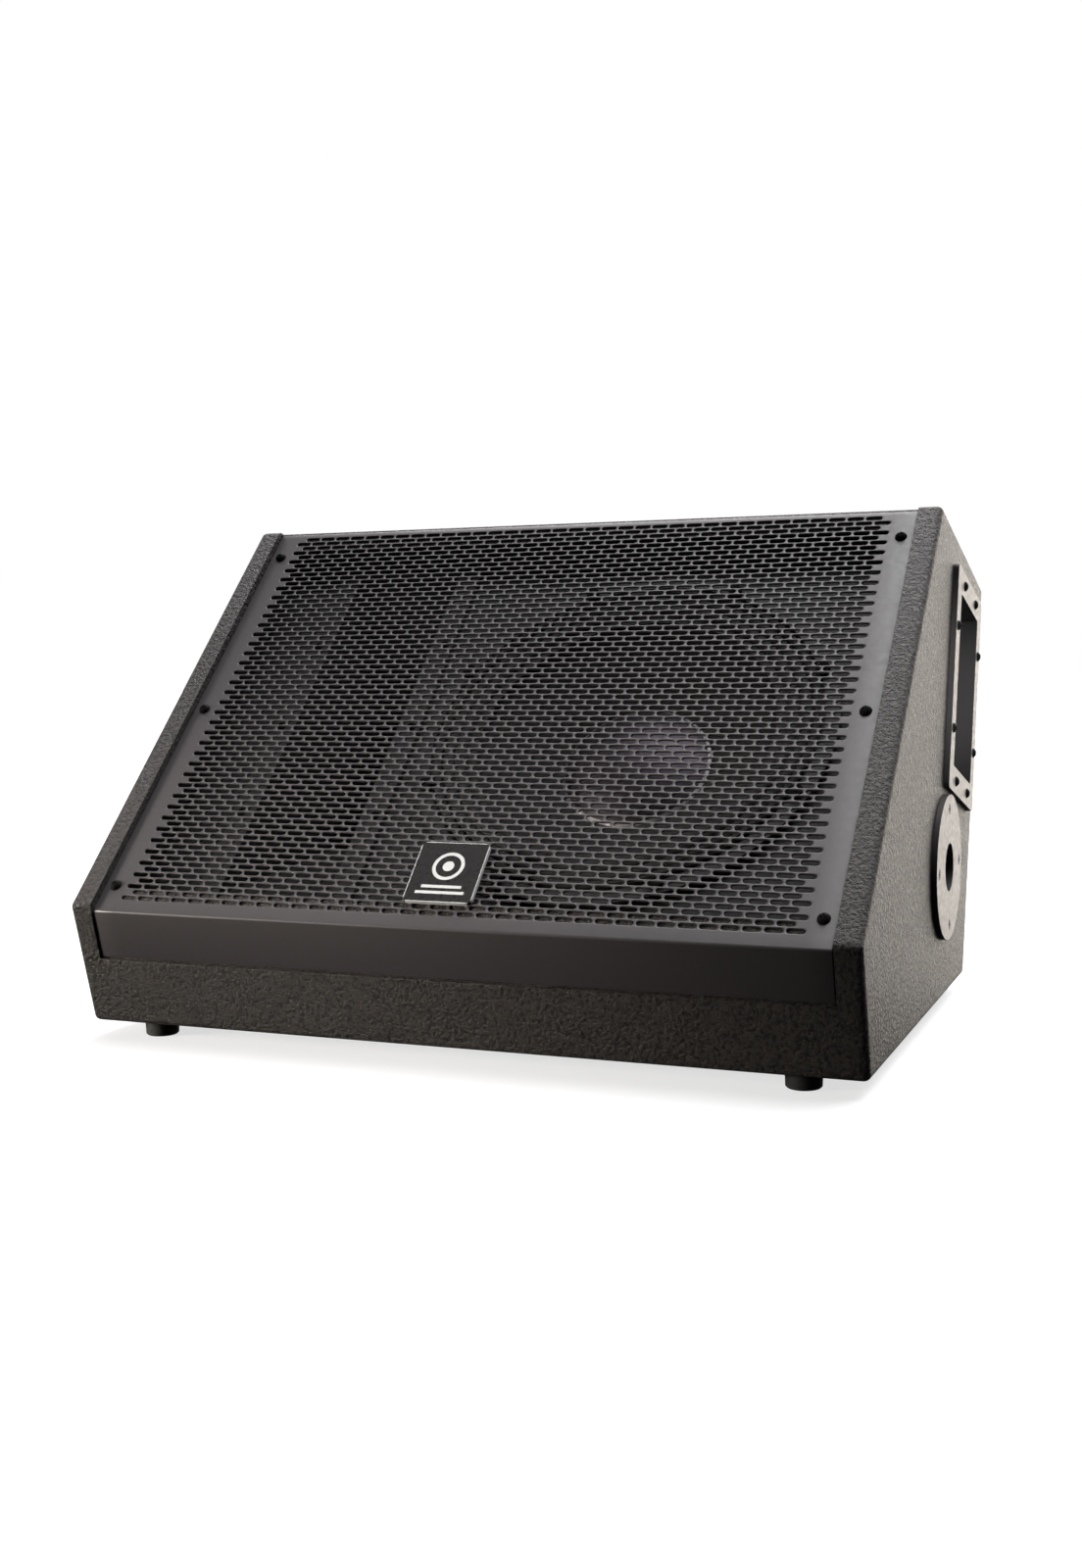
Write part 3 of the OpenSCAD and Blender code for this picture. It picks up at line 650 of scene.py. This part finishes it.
def finish(
    name,
    base,
    rough=0.5,
    spread=0.2,
    scale=400.0,
    stretch=(1, 1, 1),
    pattern="noise",
    bump=0.0001,
    metallic=0.0,
    fine=None,
    contrast=0.5,
    sockets=None,
):
    """A procedural material: a pattern drives colour and bump, and a coarser noise drives roughness.

    fine is an optional second bump as (scale, distance), and contrast is how far the pattern's values
    may be from the middle before they are clipped."""
    material = bpy.data.materials.new(name)
    material.use_nodes = True
    tree = material.node_tree
    link = tree.links.new
    shader = tree.nodes["Principled BSDF"]
    shader.inputs["Metallic"].default_value = metallic
    for key, value in (sockets or {}).items():
        shader.inputs[key].default_value = value
    place = node(tree, "ShaderNodeTexCoord").outputs["Object"]
    mapping = node(tree, "ShaderNodeMapping", Scale=stretch)
    link(place, mapping.inputs["Vector"])
    texture, out = pattern_node(tree, pattern, scale)
    link(mapping.outputs["Vector"], texture.inputs["Vector"])
    value = spread_out(tree, texture.outputs[out], (0.5 - contrast, 0.5 + contrast), (0.0, 1.0))

    colour = node(tree, "ShaderNodeMix", data_type="RGBA")
    colour.inputs[6].default_value = scaled(base, 1 - spread)
    colour.inputs[7].default_value = scaled(base, 1 + spread)
    link(value, colour.inputs[0])
    link(colour.outputs[2], shader.inputs["Base Color"])

    cloudy = node(tree, "ShaderNodeTexNoise", Scale=CLOUD_SCALE, Detail=4.0)
    link(place, cloudy.inputs["Vector"])
    roughness = (rough - ROUGH_SPREAD, min(1.0, rough + ROUGH_SPREAD))
    clouded = spread_out(tree, cloudy.outputs["Fac"], CLOUD_RANGE, roughness)
    link(clouded, shader.inputs["Roughness"])
    link(relief(tree, place, value, bump, fine), shader.inputs["Normal"])
    return material


def spread_out(tree, value, source, target):
    """A value's range, as (least, greatest), stretched to another one and clipped to it."""
    made = node(tree, "ShaderNodeMapRange")
    for name, number in zip(("From Min", "From Max", "To Min", "To Max"), (*source, *target)):
        made.inputs[name].default_value = number
    tree.links.new(value, made.inputs["Value"])
    return made.outputs["Result"]


def relief(tree, place, height, depth, fine):
    """The normal of a bump of this height, with an optional finer grain on top of it."""
    link = tree.links.new
    coarse = node(tree, "ShaderNodeBump", Distance=depth, Strength=1.0)
    link(height, coarse.inputs["Height"])
    if not fine:
        return coarse.outputs["Normal"]
    grain = node(tree, "ShaderNodeTexNoise", Scale=fine[0], Detail=2.0)
    link(place, grain.inputs["Vector"])
    second = node(tree, "ShaderNodeBump", Distance=fine[1], Strength=1.0)
    link(grain.outputs["Fac"], second.inputs["Height"])
    link(coarse.outputs["Normal"], second.inputs["Normal"])
    return second.outputs["Normal"]


def pattern_node(tree, pattern, scale):
    """The texture node for a pattern, and the output that carries it."""
    if pattern == "cells":
        return node(tree, "ShaderNodeTexVoronoi", Scale=scale), "Distance"
    if pattern == "bands":
        return node(
            tree, "ShaderNodeTexWave", Scale=scale, Distortion=0.4, bands_direction="Z"
        ), "Fac"
    if pattern == "weave":
        return node(
            tree, "ShaderNodeTexMagic", Scale=scale, Distortion=0.6, turbulence_depth=1
        ), "Fac"
    return node(tree, "ShaderNodeTexNoise", Scale=scale, Detail=6.0, Roughness=0.6), "Fac"


RUBBER = dict(rough=0.75, spread=0.3, scale=500, bump=0.00008, fine=(2200, 0.00003))
PLASTIC = dict(rough=0.42, spread=0.15, scale=900, bump=0.00003)
STEEL = dict(metallic=1.0, rough=0.38, spread=0.12, stretch=(1, 1, 12), scale=300, bump=0.00001)
PAINT = dict(rough=0.5, spread=0.3, scale=700, bump=0.00012, fine=(1900, 0.00005))

FINISHES = {
    "textured_paint": dict(
        base=(0.020, 0.0165, 0.0145),
        rough=0.5,
        spread=0.8,
        scale=360,
        contrast=0.10,
        bump=0.0008,
        fine=(900, 0.0004),
        sockets={"Specular IOR Level": 0.42},
    ),
    "baffle_paint": dict(base=(0.006, 0.006, 0.006), **PAINT),
    "grille_steel": dict(
        base=(0.0445, 0.0405, 0.043),
        rough=0.42,
        spread=0.25,
        scale=1100,
        bump=0.00004,
    ),
    "black_screw": dict(
        base=(0.012, 0.012, 0.012),
        rough=0.33,
        scale=1500,
        bump=0.00003,
        sockets={"Specular IOR Level": 0.01},
    ),
    "badge_face": dict(
        base=(0.012, 0.011, 0.011),
        rough=0.3,
        scale=1300,
        bump=0.000005,
        sockets={"Specular IOR Level": 0.25},
    ),
    "handle_steel": dict(
        base=(0.05, 0.047, 0.047),
        rough=0.42,
        spread=0.1,
        scale=1400,
        bump=0.000006,
        sockets={"Specular IOR Level": 0.15},
    ),
    "bar_steel": dict(base=(0.35, 0.35, 0.36), **STEEL),
    "grip_rubber": dict(base=(0.02, 0.02, 0.02), **RUBBER),
    "foot_rubber": dict(base=(0.006, 0.006, 0.006), **RUBBER),
    "zinc_steel": dict(base=(0.6, 0.6, 0.57), **STEEL),
    "cast_frame": dict(base=(0.02, 0.02, 0.02), rough=0.45, scale=800, bump=0.0001),
    "gasket_rubber": dict(base=(0.02, 0.02, 0.02), **RUBBER),
    "motor_steel": dict(base=(0.5, 0.5, 0.48), **STEEL),
    "ferrite": dict(base=(0.05, 0.05, 0.055), rough=0.6, scale=1200, bump=0.00006),
    "surround_cloth": dict(
        base=(0.015, 0.015, 0.015), rough=0.7, pattern="weave", scale=900, bump=0.00008
    ),
    "spider_cloth": dict(
        base=(0.45, 0.32, 0.14), rough=0.8, pattern="weave", scale=900, bump=0.0001
    ),
    "cone_paper": dict(
        base=(0.014, 0.014, 0.014), rough=0.8, spread=0.4, scale=350, bump=0.0002
    ),
    "dome_aluminium": dict(base=(0.09, 0.078, 0.092), **{**STEEL, "rough": 0.5}),
    "coil_copper": dict(
        base=(0.72, 0.36, 0.16),
        metallic=1.0,
        rough=0.3,
        pattern="bands",
        scale=260,
        spread=0.3,
        bump=0.0002,
    ),
    "horn_plastic": dict(base=(0.014, 0.014, 0.014), **PLASTIC),
    "driver_cover_metal": dict(base=(0.03, 0.03, 0.03), rough=0.4, scale=900, bump=0.00005),
    "input_steel": dict(base=(0.018, 0.018, 0.018), rough=0.42, scale=1000, bump=0.00005),
    "socket_plastic": dict(base=(0.016, 0.016, 0.02), **PLASTIC),
    "nut_metal": dict(base=(0.7, 0.7, 0.7), **{**STEEL, "rough": 0.2}),
    "lever_plastic": dict(base=(0.7, 0.7, 0.66), **PLASTIC),
    "circuit_board": dict(
        base=(0.02, 0.12, 0.045), rough=0.35, pattern="cells", scale=260, spread=0.5, bump=0.00004
    ),
    "nylon": dict(base=(0.75, 0.75, 0.7), **PLASTIC),
    "capacitor_film": dict(
        base=(0.7, 0.45, 0.06), rough=0.3, spread=0.1, scale=500, bump=0.00004
    ),
    "resistor_ceramic": dict(base=(0.78, 0.76, 0.68), rough=0.7, scale=900, bump=0.0001),
    "lead_black": dict(base=(0.015, 0.015, 0.015), rough=0.45, scale=900, bump=0.00002),
    "lead_red": dict(base=(0.45, 0.025, 0.025), rough=0.45, scale=900, bump=0.00002),
    "wadding": dict(
        base=(0.72, 0.72, 0.7), rough=0.95, spread=0.3, scale=260, bump=0.0012, fine=(900, 0.0004)
    ),
}
MATERIALS = {name: finish(name, **spec) for name, spec in FINISHES.items()}


def math_node(tree, operation, *values):
    """A number worked out from numbers or sockets."""
    made = tree.nodes.new("ShaderNodeMath")
    made.operation = operation
    for socket, value in zip(made.inputs, values):
        if isinstance(value, bpy.types.NodeSocket):
            tree.links.new(value, socket)
        else:
            socket.default_value = value
    return made.outputs[0]


def face_coordinates(tree, name):
    """Across and up the driver face, in metres from the middle of a CAD part."""
    lo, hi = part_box(name)
    up = along("face")
    sockets = []
    offset = node(tree, "ShaderNodeVectorMath", operation="SUBTRACT")
    tree.links.new(node(tree, "ShaderNodeTexCoord").outputs["Object"], offset.inputs[0])
    offset.inputs[1].default_value = [(a + b) / 2 for a, b in zip(lo, hi)]
    for direction in ((1, 0, 0), (0, up.x, up.y)):
        dot = node(tree, "ShaderNodeVectorMath", operation="DOT_PRODUCT")
        tree.links.new(offset.outputs["Vector"], dot.inputs[0])
        dot.inputs[1].default_value = direction
        sockets.append(dot.outputs["Value"])
    return sockets


def distance(tree, across, up, centre_up=0.0):
    """Distance from a point straight above or below the middle."""
    height = math_node(tree, "SUBTRACT", up, centre_up)
    squares = [math_node(tree, "MULTIPLY", v, v) for v in (across, height)]
    return math_node(tree, "SQRT", math_node(tree, "ADD", *squares))


def overlay(material, masks, colour):
    """Paints a colour over a material where any of the masks is 1."""
    tree = material.node_tree
    mask = masks[0]
    for other in masks[1:]:
        mask = math_node(tree, "MAXIMUM", mask, other)
    under = tree.nodes["Principled BSDF"].inputs["Base Color"].links[0].from_socket
    mix = node(tree, "ShaderNodeMix", data_type="RGBA")
    tree.links.new(mask, mix.inputs[0])
    tree.links.new(under, mix.inputs[6])
    mix.inputs[7].default_value = (*colour, 1)
    tree.links.new(mix.outputs[2], tree.nodes["Principled BSDF"].inputs["Base Color"])


def mark_badge():
    """A plain ring, dot and two bars, and a painted highlight: a thin light line round the plate's
    edge.
    """
    tree = MATERIALS["badge_face"].node_tree
    across, up = face_coordinates(tree, "badge")
    lo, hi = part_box("badge")
    from_ring = distance(tree, across, up, RING_UP)
    sides = [math_node(tree, "ABSOLUTE", v) for v in (across, up)]
    from_middle = math_node(tree, "MAXIMUM", *sides)
    masks = [
        math_node(tree, "COMPARE", from_ring, RING_R, RING_HALF_W),
        math_node(tree, "COMPARE", from_ring, 0.0, DOT_R),
        # Painted highlight: a thin light line round the plate's edge, in the marks' colour
        math_node(tree, "COMPARE", from_middle, (hi.x - lo.x) / 2, EDGE_HIGHLIGHT_HALF_W),
    ]
    for height, half_length in BARS:
        level = math_node(tree, "COMPARE", up, height, BAR_HALF_H)
        span = math_node(tree, "COMPARE", across, 0.0, half_length)
        masks.append(math_node(tree, "MULTIPLY", level, span))
    overlay(MATERIALS["badge_face"], masks, MARK_AND_HIGHLIGHT_COLOUR)


def paint_dust_cap_highlight():
    """A painted highlight: the dome's rolled rim coloured lighter all round."""
    tree = MATERIALS["dome_aluminium"].node_tree
    lo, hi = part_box("woofer_dust_cap")
    from_axis = distance(tree, *face_coordinates(tree, "woofer_dust_cap"))
    # Painted highlight: the ring along the dome's edge gets a lighter colour
    rim = math_node(tree, "COMPARE", from_axis, (hi.x - lo.x) / 2, CAP_RIM_HIGHLIGHT_HALF_W)
    overlay(MATERIALS["dome_aluminium"], [rim], CAP_RIM_HIGHLIGHT_COLOUR)


def paint(obj, slot):
    """The object gets one material, for all its faces."""
    obj.data.materials.clear()
    obj.data.materials.append(MATERIALS[slot])


def paint_cad_nodes():
    """Every CAD node gets the material of its slot in the record."""
    for part in frame["record"]["subparts"]:
        obj = frame["nodes"][part["node"]]
        slots = obj.material_slots
        material = MATERIALS[part["material_slot"]]
        if not slots:
            obj.data.materials.append(material)
        for s in slots:
            s.material = material


SOFT_SEGMENTS = 3
# An edge is softened where its faces turn by more than this angle in degrees
SOFT_ANGLE = 40
# Edge radius, in millimetres, of the CAD parts that keep their own mesh
SOFT_EDGES = {
    "handle_dish": 0.7,
    "pole_cup": 0.7,
    "badge": 0.6,
    "input_plate": 0.4,
    "twist_lock_sockets": 0.3,
    "jack_nuts": 0.25,
    "driver_rear_cover": 0.8,
    "driver_magnet": 0.6,
    "driver_front_plate": 0.4,
    "woofer_magnet": 0.8,
    "woofer_top_plate": 0.4,
    "woofer_pole_piece": 0.4,
    "handle_bar": 0.4,
}


def soften_edges():
    """A small radius on the edges of the parts in SOFT_EDGES."""
    for name, width in SOFT_EDGES.items():
        obj = frame["nodes"][name]
        weld = obj.modifiers.new("weld", "WELD")
        weld.merge_threshold = 0.01 * MM
        bevel = obj.modifiers.new("edges", "BEVEL")
        bevel.width = width * MM
        bevel.segments = SOFT_SEGMENTS
        bevel.limit_method = "ANGLE"
        bevel.angle_limit = math.radians(SOFT_ANGLE)
        normals = obj.modifiers.new("normals", "WEIGHTED_NORMAL")
        normals.keep_sharp = True


# ---------- Woofer's flexing rings ----------


def add_ring_sector(name, source, faces):
    """Some faces of a CAD mesh as an object of their own, with the normals they had."""
    number = {}
    corners = [[number.setdefault(v, len(number)) for v in face.vertices] for face in faces]
    mesh = bpy.data.meshes.new(name)
    mesh.from_pydata([source.vertices[v].co for v in number], [], corners)
    mesh.shade_smooth()
    normals = [source.corner_normals[i].vector for face in faces for i in face.loop_indices]
    mesh.normals_split_custom_set(normals)
    return add_object(name, mesh)


def add_flexing_ring(node_name, moving_r, fixed_r):
    """A ring cut into sectors, each of which becomes an object of its own with the ring's finish."""
    centre = face_point(WOOFER_X, WOOFER_UP, BAFFLE_SET)
    up = Vector((0, *along("face")))
    source = frame["nodes"][node_name].data
    sectors = [[] for _ in range(RING_SECTORS)]
    for face in source.polygons:
        out = face.center - centre
        turn = math.atan2(out.dot(up), out.x) % math.tau
        sectors[int(turn / math.tau * RING_SECTORS) % RING_SECTORS].append(face)
    for i, faces in enumerate(sectors):
        piece = add_ring_sector(f"{node_name}_{i}", source, faces)
        stands_for(piece, node_name)
        middle = math.tau * (i + 0.5) / RING_SECTORS
        out = Vector((1, 0, 0)) * math.cos(middle) + up * math.sin(middle)
        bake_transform(piece)


# ---------- Damping pad ----------


def add_damping_pad():
    """A loose slab of wadding on the back panel: flat where it lies, crowned and lumpy elsewhere."""
    d = along("back")
    n = inward(d)
    local = []
    for v in frame["nodes"]["damping_pad"].data.vertices:
        from_tail = Vector((v.co.y, v.co.z)) - TAIL
        local.append((v.co.x, from_tail.dot(d), from_tail.dot(n)))
    lo = [min(p[i] for p in local) for i in range(3)]
    hi = [max(p[i] for p in local) for i in range(3)]
    nx, ny, nz = PAD_CELLS
    verts, faces, index = [], [], {}

    def vertex(i, j, k):
        """u and v run from -1 to 1 across and along the pad, and w from 0 to 1 through it."""
        key = (i, j, k)
        if key not in index:
            index[key] = len(verts)
            u, v, w = 2 * i / nx - 1, 2 * j / ny - 1, k / nz
            crown = (1 - abs(u) ** 5) * (1 - abs(v) ** 5)
            lumps = PAD_LUMPS * math.sin(7 * u + 1.3) * math.cos(6 * v) * crown
            pull = PAD_PULL * (1 - (2 * w - 1) ** 2)
            side = 1 - PAD_TAPER * w * w - pull * (0.5 + 0.5 * math.cos(3 * math.pi * u * v))
            x = (lo[0] + hi[0]) / 2 + (hi[0] - lo[0]) / 2 * u * side
            y = (lo[1] + hi[1]) / 2 + (hi[1] - lo[1]) / 2 * v * side
            depth = lo[2] + (hi[2] - lo[2]) * w * (PAD_RIM + PAD_CROWN * crown + lumps)
            p = TAIL + d * y + n * depth
            verts.append((x, p.x, p.y))
        return index[key]

    def quads(make, a, b):
        """One side of the pad, as a by b cells."""
        for i in range(a):
            for j in range(b):
                faces.append([make(i, j), make(i + 1, j), make(i + 1, j + 1), make(i, j + 1)])

    for k in (0, nz):
        quads(lambda i, j, k=k: vertex(i, j, k), nx, ny)
    for j in (0, ny):
        quads(lambda i, k, j=j: vertex(i, j, k), nx, nz)
    for i in (0, nx):
        quads(lambda j, k, i=i: vertex(i, j, k), ny, nz)
    slab = add_mesh("wadding_slab", verts, faces, smooth_angle=180)
    soft = slab.modifiers.new("soft", "SUBSURF")
    soft.levels = 1
    soft.render_levels = 1
    bake_modifiers(slab, smooth_angle=180)
    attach(slab, BODY)
    stands_for(slab, "damping_pad")


# ---------- Studio ----------


def add_floor():
    """A round sheet of pale paper, just below the feet."""
    angles = [math.tau * k / FLOOR_SIDES for k in range(FLOOR_SIDES)]
    ring = [(FLOOR_R * math.cos(a), FLOOR_R * math.sin(a), -FLOOR_DROP) for a in angles]
    floor = add_mesh("floor", ring, [list(range(FLOOR_SIDES))])
    floor.visible_diffuse = False
    floor.visible_glossy = False
    material = finish(
        "floor_paper",
        base=FLOOR_GREY,
        rough=0.7,
        spread=0.01,
        scale=30,
        bump=0.00002,
        sockets={"Emission Color": (1, 1, 1, 1), "Emission Strength": FLOOR_GLOW},
    )
    floor.data.materials.append(material)


def aim(light, position, target):
    """Puts a light in place and points it."""
    light.location = position
    light.rotation_mode = "QUATERNION"
    light.rotation_quaternion = (Vector(target) - Vector(position)).to_track_quat("-Z", "Y")


def add_soft_box(name, position, target, size, power, colour):
    """A rectangular light that the camera doesn't see."""
    data = bpy.data.lights.new(name, "AREA")
    data.shape = "RECTANGLE"
    data.size, data.size_y = size
    data.energy = power
    data.color = colour
    light = add_object(name, data)
    aim(light, position, target)
    light.visible_camera = False
    return light


def add_snoot(name, position, target, power, beam):
    """A narrow light, for the inside of the handle's pocket."""
    data = bpy.data.lights.new(name, "SPOT")
    data.energy = power
    data.spot_size = math.radians(beam)
    data.spot_blend = SNOOT_BLEND
    data.shadow_soft_size = SNOOT_SIZE
    aim(add_object(name, data), position, target)


def add_sky_light():
    """A wide soft light from far away, so that the floor is evenly lit."""
    data = bpy.data.lights.new("sky", "SUN")
    data.energy = SKY_STRENGTH
    data.angle = math.radians(SKY_SPREAD)
    light = add_object("sky", data)
    light.rotation_mode = "QUATERNION"
    light.rotation_quaternion = Vector(SKY_TOWARDS).to_track_quat("Z", "Y")


def add_world():
    """White to the camera; for lighting, bright behind and above and dark in front."""
    world = bpy.data.worlds.new("studio")
    bpy.context.scene.world = world
    world.use_nodes = True
    tree = world.node_tree
    link = tree.links.new
    background = tree.nodes["Background"]
    place = node(tree, "ShaderNodeTexCoord")
    facing = node(tree, "ShaderNodeVectorMath", operation="DOT_PRODUCT")
    facing.inputs[1].default_value = BRIGHT_SIDE
    link(place.outputs["Generated"], facing.inputs[0])
    walls = node(tree, "ShaderNodeMapRange", interpolation_type="SMOOTHSTEP")
    walls.inputs["From Min"].default_value = WALLS_FROM
    walls.inputs["From Max"].default_value = 1.0
    walls.inputs["To Min"].default_value = WALLS_DARK
    walls.inputs["To Max"].default_value = WALLS_BRIGHT
    link(facing.outputs["Value"], walls.inputs["Value"])
    link(walls.outputs["Result"], background.inputs["Strength"])
    background.inputs["Color"].default_value = WALLS_TINT
    path = node(tree, "ShaderNodeLightPath")
    white = node(tree, "ShaderNodeBackground", Color=(1, 1, 1, 1))
    seen = node(tree, "ShaderNodeMixShader")
    link(path.outputs["Is Camera Ray"], seen.inputs[0])
    link(background.outputs[0], seen.inputs[1])
    link(white.outputs[0], seen.inputs[2])
    link(seen.outputs[0], tree.nodes["World Output"].inputs["Surface"])


def add_studio():
    """Floor, walls and lights."""
    add_floor()
    add_world()
    add_sky_light()
    boxes = {name: add_soft_box(name, *spec) for name, spec in SOFT_BOXES.items()}
    boxes["left_fill"].data.spread = math.radians(FILL_SPREAD)
    add_snoot("pocket_light", *POCKET_LIGHT)
    bpy.context.scene.view_settings.view_transform = "Standard"


add_camera()
mark_badge()
paint_dust_cap_highlight()
paint_cad_nodes()
soften_edges()
add_boards()
add_side_panel("side_panel_left", [])
add_side_panel("side_panel_right", side_holes())
add_grille()
add_damping_pad()
for ring, radii in FLEXING_RINGS.items():
    add_flexing_ring(ring, *radii)
add_studio()
